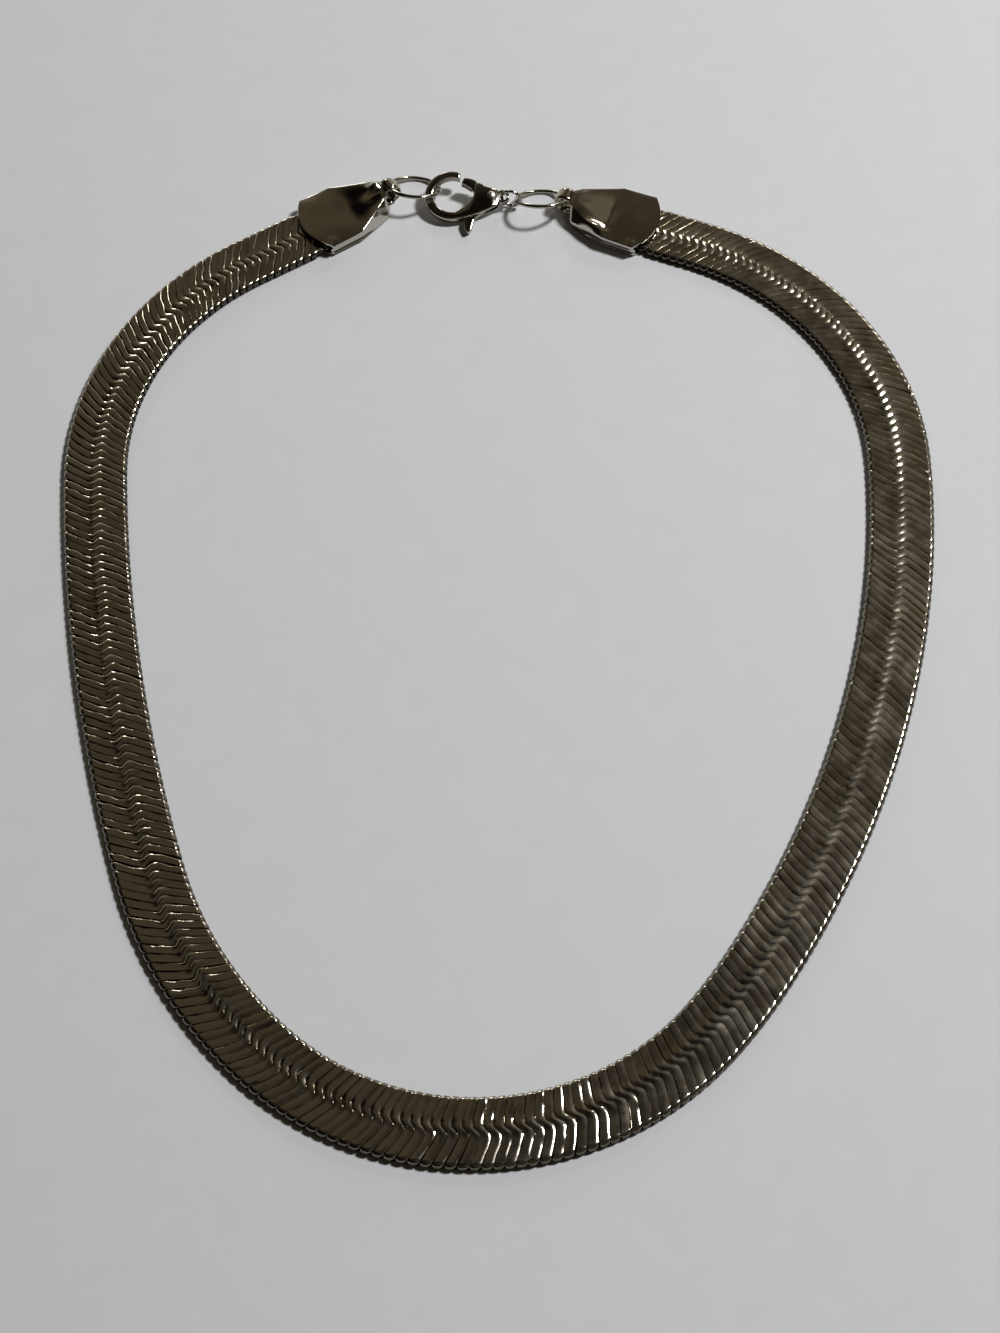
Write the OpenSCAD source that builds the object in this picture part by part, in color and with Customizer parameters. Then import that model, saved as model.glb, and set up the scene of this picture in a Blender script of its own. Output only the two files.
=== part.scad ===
// Flat herringbone chain necklace lying on a surface, with two folded end caps,
// jump rings and a lobster clasp. Millimetres, +Z up, the surface at z = 0.
// Seen from above, +Y points to the clasp and -Y to the front of the neck.

/* [Chain] */
// Width of the woven band
chain_w = 10; // [8:0.5:10.5]
// Thickness of the woven band
chain_t = 1.6; // [1.4:0.1:1.8]
// Bevel along the band's edges, where the links turn over
chain_edge = 0.45; // [0.3:0.05:0.6]

/* [End caps] */
// Width of a cap across the folded sheet
cap_w = 12; // [11.5:0.1:12.6]
// Height of a cap at the chain
cap_h = 2.4; // [2.2:0.1:2.6]
// Thickness of the folded sheet
cap_sheet = 0.35; // [0.25:0.05:0.4]
// Radius of the bore through the loop at a cap's nose
bore_r = 1.55; // [1.5:0.05:1.65]
// Length of that loop across the cap
loop_w = 2.6; // [2.2:0.1:2.8]

/* [Jump rings] */
// Diameter of the two large rings, measured at the middle of the wire
ring_d = 8.5; // [8.4:0.05:8.6]
// Wire diameter of the large rings
ring_wire = 0.7; // [0.6:0.05:0.75]
// Diameter of the small ring at the clasp's tail, at the middle of the wire
small_ring_d = 3.3; // [3.2:0.05:3.4]
// Wire diameter of the small ring
small_ring_wire = 0.55; // [0.5:0.05:0.65]

/* [Clasp] */
// Thickness of the hook
hook_t = 1.7; // [1.5:0.1:1.8]
// Thickness of the body over both cheeks
body_t = 2; // [1.9:0.1:2.1]
// Width of the slot in which the lever turns
slot_t = 1; // [0.95:0.05:1.1]
// Thickness of the lever inside the slot
lever_t = 0.8; // [0.6:0.05:0.85]
// Radius of the rivet on which the lever turns
rivet_r = 0.4; // [0.35:0.01:0.45]

/* [Hidden] */
$fn = 64;

silver = [0.72, 0.70, 0.66];
bright_silver = [0.80, 0.79, 0.76];

// The band's midline is a row of tangent stretches from the left cap, down the
// left side, round the front and up the right side. Each row is [radius, amount]:
// radius 0 is a straight of that many millimetres, any other is an arc of that
// radius turning left through that many degrees.
stretches = [
    [0, 10.3],
    [46.4, 63],
    [301, 13.4],
    [62.7, 29.6],
    [42.6, 90.4],
    [82, 7.6],
    [157, 33.2],
    [47.1, 68.8],
    [0, 7]
];
// Where the midline starts, [x, y, heading in degrees]
path_start = [-31.16, 74.01, -149.5];
// Every second stretch is a hair smaller and runs into its neighbours by the lap
lap = 0.4;
lap_inset = 0.02;

// Pose at the end of one stretch that starts at pose p
function along(p, s) =
    s[0] == 0
    ? [p[0] + s[1] * cos(p[2]), p[1] + s[1] * sin(p[2]), p[2]]
    : [p[0] + s[0] * (sin(p[2] + s[1]) - sin(p[2])),
       p[1] - s[0] * (cos(p[2] + s[1]) - cos(p[2])),
       p[2] + s[1]];
// Pose at the start of stretch i
function pose(i) = i == 0 ? path_start : along(pose(i - 1), stretches[i - 1]);
path_end = pose(len(stretches));

// The band's thinner end, held between a cap's two sheets
tongue_len = 7;
tongue_t = 1.1;
tongue_z = 0.45;
tongue_w = chain_w - 0.4;

// End cap, along x from the band's end to the nose
mouth_x = 2.6;
mouth_bulge = 2.4;
shoulder_x = mouth_x + 5.6;
shoulder_y = cap_w / 2 - 0.2;
neck_x = mouth_x + 13.2;
neck_y = 3.2;
ridge_x = mouth_x + 13.7;
ridge_y = 1.75;
ridge_z = 3.85;
loop_x = mouth_x + 13.92;
loop_z = 2.22;
loop_r = bore_r + 0.35;
bore_flare = 0.2;
nose_cut_r = loop_r + 0.5;
pocket_gap = 0.3;

// Large rings: [x, y] of the centre, tilt with the near edge up, roll with the
// right end down, and turn about the vertical, all in degrees
ring_left = [-12.49, 82.91, 25.8, 3.6, -6.8];
ring_right = [8.84, 79.3, 30.2, 0.3, -0.7];

// Clasp, in its own plane: x to the tail, y to the gate's side
clasp_at = [-4.11, 81.07, 2.2];
clasp_tilt = 15;
hook_c = [-2.2, -0.45];
hook_r = 4.5;
opening_c = [-2.05, -0.35];
opening_r = 3.15;
tip_x = -0.75;
// The spine runs on from the hook's rim, tangent to it at this angle
spine_from = -82;
spine_r = 19.5;
spine_c = hook_c - (spine_r - hook_r) * [cos(spine_from), sin(spine_from)];
eye_c = [6.35, -0.8];
eye_r = 1.2;
eye_hole_r = 0.75;
eye_t = 1.2;
pivot = [4.45, -0.7];
pivot_gap = 0.05;
boss_r = 0.8;
slot_x = [-0.8, 5.4];
edge_bevel = 0.45;
// Beyond this distance from the pivot the gate has the hook's full thickness,
// inside it the two cheeks cover it
cover_r = 3.3;
rivet_head_r = 0.65;
rivet_head_t = 0.2;

// Small ring, standing upright: [x, y, z] of its centre and its turn
small_ring_at = [3.75, 79.9, 2.2];
small_ring_turn = -14;

// A band section lying on z = 0, x across the band
module band_section(w, t, e) {
    polygon([
        [-w / 2, e], [-w / 2 + e, 0], [w / 2 - e, 0], [w / 2, e],
        [w / 2, t - e], [w / 2 - e, t], [-w / 2 + e, t], [-w / 2, t - e]
    ]);
}

// A straight of the given length along +x with that section
module straight_band(length, w, t, e) {
    rotate([90, 0, 90]) linear_extrude(length) band_section(w, t, e);
}

// One stretch of the band, starting at the origin and heading along +x. With an
// inset its section is that much smaller all round and it is lapped at both ends.
module band_stretch(s, inset, lapped) {
    if (s[0] == 0) {
        straight_band(s[1], chain_w, chain_t, chain_edge);
    } else {
        lap_turn = lapped / s[0] * 180 / PI;
        translate([0, s[0], inset]) rotate([0, 0, -90 - lap_turn])
            rotate_extrude(angle = s[1] + 2 * lap_turn, $fn = 180)
                translate([s[0], 0])
                    band_section(chain_w - 2 * inset, chain_t - 2 * inset, chain_edge);
    }
}

module at_pose(p, turn = 0) {
    translate([p[0], p[1], 0]) rotate([0, 0, p[2] + turn]) children();
}

module tongue() {
    translate([-0.5, 0, tongue_z])
        straight_band(tongue_len + 0.5, tongue_w, tongue_t, 0.2);
}

module chain() {
    color(silver) union() {
        for (i = [0 : 2 : len(stretches) - 1])
            at_pose(pose(i)) band_stretch(stretches[i], 0, 0);
        for (i = [1 : 2 : len(stretches) - 1])
            at_pose(pose(i)) band_stretch(stretches[i], lap_inset, lap);
        at_pose(path_start, 180) tongue();
        at_pose(path_end) tongue();
    }
}

function unit(v) = v / norm(v);

// A large block that lies on the plane through a, b and c, on the side from
// which these three run anticlockwise
module above_plane(a, b, c) {
    u = unit(b - a);
    n = unit(cross(b - a, c - a));
    v = cross(n, u);
    multmatrix([
        [u[0], v[0], n[0], a[0]],
        [u[1], v[1], n[1], a[1]],
        [u[2], v[2], n[2], a[2]],
        [0, 0, 0, 1]
    ])
        translate([-15, -15, 0]) cube([30, 30, 12]);
}

// Plan of a cap: a bulged mouth, straight sides and a nose that narrows
module cap_plan() {
    bulge_r = (cap_w * cap_w / 4 + mouth_bulge * mouth_bulge) / (2 * mouth_bulge);
    intersection() {
        translate([mouth_x - mouth_bulge + bulge_r, 0]) circle(r = bulge_r, $fn = 128);
        translate([0, -cap_w / 2]) square([mouth_x + 1, cap_w]);
    }
    polygon([
        [mouth_x, -cap_w / 2], [shoulder_x, -shoulder_y], [neck_x, -neck_y],
        [neck_x, neck_y], [shoulder_x, shoulder_y], [mouth_x, cap_w / 2]
    ]);
}

// The space that takes the band's tongue
module cap_pocket() {
    w = cap_w - 2 * cap_sheet - 2 * pocket_gap;
    translate([0, 0, cap_sheet])
        linear_extrude(cap_h - 2 * cap_sheet)
            polygon([
                [-1, -w / 2], [shoulder_x, -w / 2], [neck_x - 2.4, -1],
                [neck_x - 2.4, 1], [shoulder_x, w / 2], [-1, w / 2]
            ]);
}

// Children drawn about z = 0, laid across the cap at the loop
module at_loop() {
    translate([loop_x, 0, loop_z]) rotate([90, 0, 0]) children();
}

// The loop's bore, which opens out at both ends and clears the nose beside it
module cap_bore() {
    h = loop_w / 2;
    at_loop() rotate_extrude($fn = 96) polygon([
        [0, -6], [nose_cut_r, -6], [nose_cut_r, -h], [bore_r + bore_flare, -h],
        [bore_r, -h + 0.6], [bore_r, h - 0.6],
        [bore_r + bore_flare, h], [nose_cut_r, h], [nose_cut_r, 6], [0, 6]
    ]);
}

module end_cap() {
    shoulder = [shoulder_x, shoulder_y, cap_h];
    ridge = [ridge_x, ridge_y, ridge_z];
    foot = [neck_x, neck_y, 0.3];
    difference() {
        union() {
            linear_extrude(cap_h) intersection() {
                cap_plan();
                translate([0, -cap_w]) square([shoulder_x, 2 * cap_w]);
            }
            difference() {
                linear_extrude(ridge_z + 1) intersection() {
                    cap_plan();
                    translate([shoulder_x - 0.01, -cap_w]) square([20, 2 * cap_w]);
                }
                above_plane([shoulder_x, 0, cap_h], [ridge_x, 0, ridge_z],
                            [shoulder_x, 1, cap_h]);
                above_plane(shoulder, ridge, foot);
                mirror([0, 1, 0]) above_plane(shoulder, ridge, foot);
            }
            at_loop() cylinder(r = loop_r, h = loop_w, center = true);
        }
        cap_pocket();
        cap_bore();
    }
}

module end_cap_left() {
    color(bright_silver) at_pose(path_start, 180) end_cap();
}

module end_cap_right() {
    color(bright_silver) at_pose(path_end) end_cap();
}

module wire_ring(d, wire) {
    rotate_extrude($fn = 96) translate([d / 2, 0]) circle(d = wire, $fn = 32);
}

// A large ring whose lowest point just clears the surface
module lying_ring(p) {
    rise = norm([sin(p[3]), cos(p[3]) * sin(p[2])]) * ring_d / 2;
    color(bright_silver) translate([p[0], p[1], rise + ring_wire / 2 + 0.02])
        rotate([-p[2], p[3], p[4]]) wire_ring(ring_d, ring_wire);
}

module jump_ring_left() {
    lying_ring(ring_left);
}

module jump_ring_right() {
    lying_ring(ring_right);
}

module tail_ring() {
    color(bright_silver) translate(small_ring_at)
        rotate([90, 0, small_ring_turn]) wire_ring(small_ring_d, small_ring_wire);
}

// Puts children, drawn in the clasp's plane, where the clasp lies
module in_clasp() {
    translate(clasp_at) rotate([clasp_tilt, 0, 0]) children();
}

// A disc of radius r and thickness t about z = 0 with bevelled rims
module bevelled_disc(c, r, t, e) {
    translate([c[0], c[1], 0]) rotate_extrude($fn = 96)
        polygon([
            [0, -t / 2], [r - e, -t / 2], [r, -t / 2 + e],
            [r, t / 2 - e], [r - e, t / 2], [0, t / 2]
        ]);
}

// A round opening of radius r with bevelled rims
module bevelled_hole(c, r, t, e) {
    translate([c[0], c[1], 0]) rotate_extrude($fn = 96)
        polygon([
            [0, -t / 2 - 1], [r + e, -t / 2 - 1], [r + e, -t / 2], [r, -t / 2 + e],
            [r, t / 2 - e], [r + e, t / 2], [r + e, t / 2 + 1], [0, t / 2 + 1]
        ]);
}

// The crescent hook, cut off at the tip beside the gate
module hook() {
    difference() {
        bevelled_disc(hook_c, hook_r, hook_t, edge_bevel);
        bevelled_hole(opening_c, opening_r, hook_t, edge_bevel);
        translate([tip_x, -0.4, -5]) cube([10, 10, 10]);
    }
}

// The two cheeks and the spine, from the hook to the tail
module cheeks() {
    difference() {
        intersection() {
            bevelled_disc(spine_c, spine_r, body_t, edge_bevel);
            translate([0, 0, -body_t]) linear_extrude(2 * body_t) polygon([
                [-1.7, -6], [-1.7, -3.4], [0.2, -2.45], [1.15, -1.4], [1.6, -0.3],
                [1.6, 1.3], [2, 2.1], [2.9, 1.55], [3.7, 0.95], [4.6, 0.7],
                [5.7, 0.45], [5.7, -6]
            ]);
        }
        // the gate's side of the cover is round about the pivot
        translate([0, 0, -3]) linear_extrude(6) difference() {
            translate([pivot[0] - 6, pivot[1]]) square([6, 6]);
            translate(pivot) circle(r = cover_r);
        }
    }
}

module eye() {
    translate([0, 0, -eye_t / 2]) linear_extrude(eye_t) difference() {
        union() {
            translate(eye_c) circle(r = eye_r);
            translate([5.5, eye_c[1] - eye_r]) square([eye_c[0] - 5.5, 2 * eye_r]);
        }
        translate(eye_c) circle(r = eye_hole_r);
    }
}

module clasp_body() {
    color(bright_silver) in_clasp() difference() {
        union() {
            hook();
            cheeks();
            eye();
        }
        translate([slot_x[0], -8, -slot_t / 2])
            cube([slot_x[1] - slot_x[0], 16, slot_t]);
        translate([pivot[0], pivot[1], -3]) cylinder(r = rivet_r, h = 6);
    }
}

// Plan of the gate arm, from its free end beside the hook's tip to the pivot
module gate_plan() {
    polygon([
        [-0.45, 1.7], [0.1, 2.75], [1, 2.65], [1.9, 2.25], [2.75, 1.7], [3.4, 1.1],
        [4.3, 0.1], [4.3, -1.3], [2.4, -0.6], [1.55, 0.3], [1, 0.85], [0.3, 1.3]
    ]);
}

// Plan of the tab arm, from the pivot to the thumb tab beyond the spine
module tab_plan() {
    polygon([
        [5, -1.2], [4.3, -2.6], [1.9, -4.4], [1.5, -5.2], [0.95, -7.2], [0.4, -7.4],
        [-0.1, -7.1], [-0.2, -5.4], [-0.3, -4.2], [1, -3.2], [2.8, -1.2], [3.9, -0.2]
    ]);
}

module clasp_lever() {
    color(silver) in_clasp() difference() {
        union() {
            translate([0, 0, -lever_t / 2]) linear_extrude(lever_t) {
                translate(pivot) circle(r = boss_r);
                gate_plan();
                tab_plan();
            }
            // the gate's free part is as thick as the hook
            translate([0, 0, -hook_t / 2]) linear_extrude(hook_t) difference() {
                gate_plan();
                translate(pivot) circle(r = cover_r + 0.12);
            }
            // beyond the spine the tab is set up, clear of the surface
            linear_extrude(0.9) difference() {
                tab_plan();
                translate([-5, -5]) square([10, 6]);
            }
        }
        translate([-3, -9, -3]) cube([8, 4, 3]);
        translate([pivot[0], pivot[1], -3]) cylinder(r = rivet_r + pivot_gap, h = 6);
    }
}

module clasp_rivet() {
    color(bright_silver) in_clasp() translate([pivot[0], pivot[1], 0]) {
        cylinder(r = rivet_r - 0.01, h = body_t + 0.1, center = true);
        for (side = [0, 1]) mirror([0, 0, side])
            translate([0, 0, body_t / 2 + 0.01]) cylinder(r = rivet_head_r, h = rivet_head_t);
    }
}

chain();
end_cap_left();
end_cap_right();
jump_ring_left();
jump_ring_right();
tail_ring();
clasp_body();
clasp_lever();
clasp_rivet();
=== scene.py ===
# %% [markdown]
# # A flat herringbone chain necklace on a sheet of paper
#
# The real thing is a band of some 280 thin S-shaped links, pressed flat until they lie like
# the bones of a herring, with a folded cap on each end, two jump rings and a lobster clasp.
# All of it is plated in a bright white metal that reflects a dim, warm room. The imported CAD
# model gives every size and place. This script dresses it: each piece that the eye dwells on
# is worked out again as a finer surface and laid over the CAD solid that it stands for.

# %% The frame
import math

import bmesh
import bpy
import numpy as np
from mathutils import Matrix


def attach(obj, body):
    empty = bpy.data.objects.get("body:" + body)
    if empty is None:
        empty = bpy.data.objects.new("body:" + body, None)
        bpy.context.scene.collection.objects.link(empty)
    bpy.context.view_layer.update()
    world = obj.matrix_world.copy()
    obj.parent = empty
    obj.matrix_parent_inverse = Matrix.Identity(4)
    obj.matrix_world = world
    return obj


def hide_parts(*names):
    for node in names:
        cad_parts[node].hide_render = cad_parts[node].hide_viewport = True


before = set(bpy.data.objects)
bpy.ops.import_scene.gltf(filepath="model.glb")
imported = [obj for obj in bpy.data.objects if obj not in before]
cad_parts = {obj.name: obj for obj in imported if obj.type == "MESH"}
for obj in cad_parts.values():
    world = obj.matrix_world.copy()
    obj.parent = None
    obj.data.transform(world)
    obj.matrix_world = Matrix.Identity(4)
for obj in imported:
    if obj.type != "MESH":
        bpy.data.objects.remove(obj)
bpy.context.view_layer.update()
MM = 0.001
NECKLACE, LEVER = "necklace", "lever"

# %% [markdown]
# ## Helpers
#
# A colour is easiest to judge as the hex number that a screen shows, but a shader counts in
# linear light, so one function turns the first into the second. A second one adds a node with
# its settings and its links, which keeps each material below down to a few lines.

# %% Colours and nodes
def linear(hex_colour):
    """The linear colour of an sRGB hex value such as "a8a396", with alpha 1."""
    srgb = np.array([int(hex_colour[i:i + 2], 16) for i in (0, 2, 4)]) / 255
    low, high = srgb / 12.92, ((srgb + 0.055) / 1.055) ** 2.4
    return (*np.where(srgb <= 0.04045, low, high), 1.0)


def add_node(tree, kind, settings=(), **inputs):
    """A node of this kind. Settings are its own properties. Each input is a value, or an
    (other node, output name) pair that is linked to it; _ in its name stands for a space."""
    node = tree.nodes.new(kind)
    for name, value in dict(settings).items():
        setattr(node, name, value)
    for name, value in inputs.items():
        socket = node.inputs[name.replace("_", " ")]
        if isinstance(value, tuple) and isinstance(value[0], bpy.types.Node):
            tree.links.new(value[0].outputs[value[1]], socket)
        else:
            socket.default_value = value
    return node


print("half grey on the screen is", round(linear("808080")[0], 3), "in linear light")

# %% [markdown]
# ## The surfaces
#
# Every new piece is a sheet of points, rows by columns, that is worked out as one array. Some
# sheets close round on themselves, as a wire does, and some end in a flat cap. This helper
# joins neighbours into four-sided faces, so each piece only has to say where its points are.

# %% From a grid of points to a mesh
def grid_faces(rows, columns, close_rows=False, close_columns=True):
    """The faces of a grid of points numbered row by row: each joins a point, its neighbour
    along the row, the one below that and the one below itself."""
    row = np.arange(rows if close_rows else rows - 1)[:, None]
    column = np.arange(columns if close_columns else columns - 1)[None, :]
    next_row, next_column = (row + 1) % rows, (column + 1) % columns
    corners = [row * columns + column, row * columns + next_column,
               next_row * columns + next_column, next_row * columns + column]
    return np.stack(np.broadcast_arrays(*corners), axis=-1).reshape(-1, 4)


print("a tube of 3 rings of 4 points has", len(grid_faces(3, 4)), "faces")

# %% From a mesh to a piece
def new_piece(name, points, faces, material, body=NECKLACE, sharp_deg=40.0):
    """An object at the origin from points in millimetres and faces as rows of point numbers.
    All faces are turned outwards. Edges that bend more than sharp_deg stay crisp, and the
    others are shaded smooth."""
    mesh = bpy.data.meshes.new(name)
    mesh.from_pydata((points * MM).tolist(), [], [list(map(int, f)) for f in faces])
    shape = bmesh.new()
    shape.from_mesh(mesh)
    bmesh.ops.recalc_face_normals(shape, faces=shape.faces)
    shape.to_mesh(mesh)
    shape.free()
    mesh.polygons.foreach_set("use_smooth", np.ones(len(mesh.polygons), dtype=bool))
    mesh.set_sharp_from_angle(angle=math.radians(sharp_deg))
    mesh.materials.append(material)
    mesh.update()
    piece = bpy.data.objects.new(name, mesh)
    bpy.context.scene.collection.objects.link(piece)
    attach(piece, body)
    print(f"{name}: {len(mesh.vertices)} points, {len(mesh.polygons)} faces")
    return piece


# %% [markdown]
# ## Finishes
#
# The necklace is brass with a thin coat of bright nickel or rhodium. The coat is the same
# everywhere, but the metal under it isn't: the links are rolled wire with fine drawing marks,
# the caps are stamped from mirror-polished sheet, the rings are drawn wire, and the clasp is
# cast and tumbled, which leaves its skin a little wavy. Only the rivet is a steel pin. So each
# gets its own roughness and its own small unevenness, sized in real millimetres. One shader
# for all would be less work, but then the clasp would look like the links.

# %% Plated metal
NOISE_LOW, NOISE_HIGH = 0.35, 0.65     # nearly all values of Blender's noise lie between these
GRAINS_A_TOUCH = 6                     # a smudge is so many grains wide


def plated_metal(name, colour, roughness, grain_mm, grain_height_mm, smear=0.05):
    """White metal plate. Its roughness wanders by smear over a few grains, as where it has
    been touched, and its skin waves by grain_height_mm over grain_mm."""
    material = bpy.data.materials.new(name)
    material.use_nodes = True
    tree = material.node_tree
    shader = tree.nodes["Principled BSDF"]
    shader.inputs["Base Color"].default_value = linear(colour)
    shader.inputs["Metallic"].default_value = 1.0
    place = add_node(tree, "ShaderNodeTexCoord")
    grain = add_node(tree, "ShaderNodeTexNoise", Vector=(place, "Object"),
                     Scale=1 / (grain_mm * MM), Detail=2.0, Roughness=0.5)
    touch = add_node(tree, "ShaderNodeTexNoise", Vector=(place, "Object"),
                     Scale=1 / (grain_mm * GRAINS_A_TOUCH * MM), Detail=2.0)
    marks = add_node(tree, "ShaderNodeMapRange", Value=(touch, "Fac"), From_Min=NOISE_LOW,
                     From_Max=NOISE_HIGH, To_Min=roughness - smear, To_Max=roughness + smear)
    skin = add_node(tree, "ShaderNodeBump", Height=(grain, "Fac"), Strength=1.0,
                    Distance=grain_height_mm * MM)
    tree.links.new(marks.outputs["Result"], shader.inputs["Roughness"])
    tree.links.new(skin.outputs["Normal"], shader.inputs["Normal"])
    return material


def paint_shade_in_gaps(material, colour):
    """Paints shade into the plate: darkens it towards this colour where the piece's attribute for
    painted shade nears 1.
    """
    tree = material.node_tree
    shader = tree.nodes["Principled BSDF"]
    shade_attribute = add_node(tree, "ShaderNodeAttribute", {"attribute_name": "crevice"})
    tone = add_node(tree, "ShaderNodeMix", {"data_type": "RGBA"}, Factor=(shade_attribute, "Fac"))
    tone.inputs["A"].default_value = shader.inputs["Base Color"].default_value
    tone.inputs["B"].default_value = linear(colour)
    tree.links.new(tone.outputs["Result"], shader.inputs["Base Color"])


# %% The five finishes
# rolled link wire: bright, with a fine drawn grain that spreads its glints a little
link_plate = plated_metal("plated_brass_link_wire", "b4aea0", 0.16, 0.4, 0.008, smear=0.03)
# painted shade: the link wire darkens towards 2a2620 in the gaps where the links lap and at their
# rounded tips
paint_shade_in_gaps(link_plate, "2a2620")
# stamped sheet, polished to a mirror before it was folded
cap_plate = plated_metal("plated_brass_mirror_sheet", "bcb8ae", 0.07, 2.5, 0.004, smear=0.02)
# drawn wire, bright all round
ring_plate = plated_metal("plated_brass_drawn_wire", "aaa69c", 0.11, 0.8, 0.004, smear=0.03)
# tumbled casting, with a softly wavy skin
cast_plate = plated_metal("plated_brass_casting", "b4aea2", 0.12, 0.9, 0.012, smear=0.04)
# steel pin, left dull where the setting tool struck it, so the glint spreads over its head
pin_plate = plated_metal("plated_steel_pin", "d2cec6", 0.3, 0.4, 0.004, smear=0.04)
print("finishes:", ", ".join(m.name for m in bpy.data.materials if m.name.startswith("plated")))

# %% [markdown]
# ## The band's path
#
# The necklace lies in one closed curve: short straights at the caps, then
# arcs of different radius, each running smoothly into the next. The CAD band follows
# this same row of stretches. A curve object could carry them too, but a formula can be asked
# for the places of all links at once.

# %% Midline of the band
# radius in mm and turn in degrees of each arc; a radius of 0 is a straight of so many mm
STRETCHES = ((0, 10.3), (46.4, 63), (301, 13.4), (62.7, 29.6), (42.6, 90.4), (82, 7.6),
             (157, 33.2), (47.1, 68.8), (0, 7))
START_X, START_Y, START_HEADING = -31.16, 74.01, math.radians(-149.5)


def band_length():
    """The sum of the straights and of radius times turn of the arcs."""
    return sum(math.radians(turn) * radius if radius else turn for radius, turn in STRETCHES)


def midline(s):
    """x, y and heading of the midline s millimetres from the left end. The heading grows
    evenly along an arc, and the place is the sum of cos and sin of the heading."""
    x, y, heading, begun = START_X, START_Y, START_HEADING, 0.0
    out = np.zeros((3,) + s.shape)
    for number, (radius, amount) in enumerate(STRETCHES):
        turn = math.radians(amount) if radius else 0.0
        length = radius * turn if radius else amount
        here = (s >= begun) | (number == 0)
        gone = np.where(here, s - begun, 0.0)
        if number < len(STRETCHES) - 1:
            here &= s < begun + length
        if radius:
            angle = heading + gone / radius
            spot = (x + radius * (np.sin(angle) - math.sin(heading)),
                    y - radius * (np.cos(angle) - math.cos(heading)), angle)
            x += radius * (math.sin(heading + turn) - math.sin(heading))
            y -= radius * (math.cos(heading + turn) - math.cos(heading))
        else:
            spot = (x + gone * math.cos(heading), y + gone * math.sin(heading),
                    heading + 0 * gone)
            x += length * math.cos(heading)
            y += length * math.sin(heading)
        out = np.where(here, spot, out)
        heading += turn
        begun += length
    return out


LENGTH = band_length()
print("length of the band:", round(LENGTH, 1), "mm")

# %% [markdown]
# ## The links
#
# Each link of the real chain is a flat wire loop bent like a long S: it slants back from the
# inner edge, hooks forward at the middle of the band, and slants back again to the outer
# edge. Every link laps over the next one, so its leading edge stands a little proud and
# throws a hair of shadow. A plain textured band would look right from straight above only.
# So each link is a real bar with its own edges, ends and crown, and all of them are worked
# out at once: one axis of the array is the link, one runs along the bar and one round it.

# %% Shape of one link
PITCH = 1.415
BAND_W, BAND_T = 9.94, 1.6
HOOK_REACH, HOOK_WIDTH, HOOK_V = 1.85, 0.62, -0.1   # how far and how wide it hooks, and where
SLANT_DEG = 36.0       # slant of the arms where the band is straight
FRONT_S, FRONT_SPREAD = 205.0, 60.0   # where the band bends most tightly
INNER_EASE, OUTER_EASE = 22.0, 15.0   # by how many degrees the bend stands the arms up


def lead(s, v, sway):
    """How far a link runs ahead of its centre at v mm outward of the midline. Each arm is a
    straight slant, less steep where the bend is tight and different by its own sway, and a
    tanh makes the hook between them."""
    bend = np.exp(-((s - FRONT_S) / FRONT_SPREAD) ** 2)
    ease = np.where(v < 0, INNER_EASE, OUTER_EASE)
    slant = np.radians(SLANT_DEG - ease * bend + sway)
    return -v * np.tan(slant) + HOOK_REACH / 2 * np.tanh((v - HOOK_V) / HOOK_WIDTH)


OUTER_END = lead(np.array([0.0, FRONT_S]), BAND_W / 2, 0)
print("outer ends trail by", np.round(-OUTER_END, 2), "mm at the cap and at the front")

# %% Along a link and round it
# places along a link in mm from the midline: close together at the hook and round the ends
END_ROUND = 0.62
END_TURNS = np.radians([-14, 5, 32, 60, 92])
end_places = BAND_W / 2 - END_ROUND * (1 - np.sin(END_TURNS[::-1]))
ALONG = np.concatenate([-end_places, [-3.1, -2.2, -1.7, -1.3, -0.9, -0.5, -0.1, 0.2, 0.5, 1.0,
                                      2.0, 3.1], end_places[::-1]])
# section of a link from its trailing edge over the crown to its leading edge and back: across
# as a share of half a pitch where the edge is crisp and where it is worn, drop below the crown
# in mm, 1 on the underside, and how much painted shade darkens it there, where the links lap
SECTION = np.array([(-1.10, -1.08, 0.30, 0, 1.0), (-1.00, -0.88, 0.13, 0, 0.4),
                    (-0.96, -0.60, 0.05, 0, 0.0), (-0.60, -0.38, 0.03, 0, 0.0),
                    (-0.15, -0.15, 0.01, 0, 0.0), (0.25, 0.25, 0.00, 0, 0.0),
                    (0.84, 0.66, 0.00, 0, 0.0), (0.93, 0.86, 0.06, 0, 0.1),
                    (0.97, 0.96, 0.20, 0, 0.9), (0.98, 0.98, 0.00, 1, 1.0),
                    (-1.10, -1.08, 0.00, 1, 1.0)])
CRISP, WORN, DROP, UNDER, GAP_SHADE = SECTION.T
print(len(ALONG), "rows of", len(SECTION), "points make a link")

# %% Wear
# how worn the trailing and the leading edges are, by place along the band
WEAR = np.array([(0, 1.0, 0.3), (28, 1.25, 0.25), (52, 1.1, 0.2), (75, 0.95, 0.2),
                 (150, 0.85, 0.15), (168, 0.3, 0.2), (188, 0.2, 0.3), (199, 0.2, 1.1),
                 (209, 0.2, 1.0), (220, 0.2, 0.2), (240, 0.15, 0.1), (300, 0.15, 0.1),
                 (322, 0.3, 0.35), (345, 0.35, 0.2), (397, 0.6, 0.4)])
MOST_WORN = 1.3
LINK_SPREAD, PHASE_DRIFT = 0.5, 3.0    # how much links differ, and their patches' places
PATCH_MEAN, PATCH_SWING, PATCH_TURN = 0.5, 0.6, 2.3   # of the sine, in radians for each mm
HOOK_LESS, HOOK_LESS_MM = 0.5, 0.8     # how much less the hook is worn, and over how many mm


def wander(rng, count, reach):
    """Random numbers with a spread of 1 that drift smoothly: white noise averaged under a
    bell curve that is reach links wide."""
    bell = np.exp(-(np.arange(-3 * reach, 3 * reach + 1) / reach) ** 2)
    noise = np.convolve(rng.normal(0, 1, count + len(bell) - 1), bell, mode="valid")
    return noise / np.sqrt((bell ** 2).sum())


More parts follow.
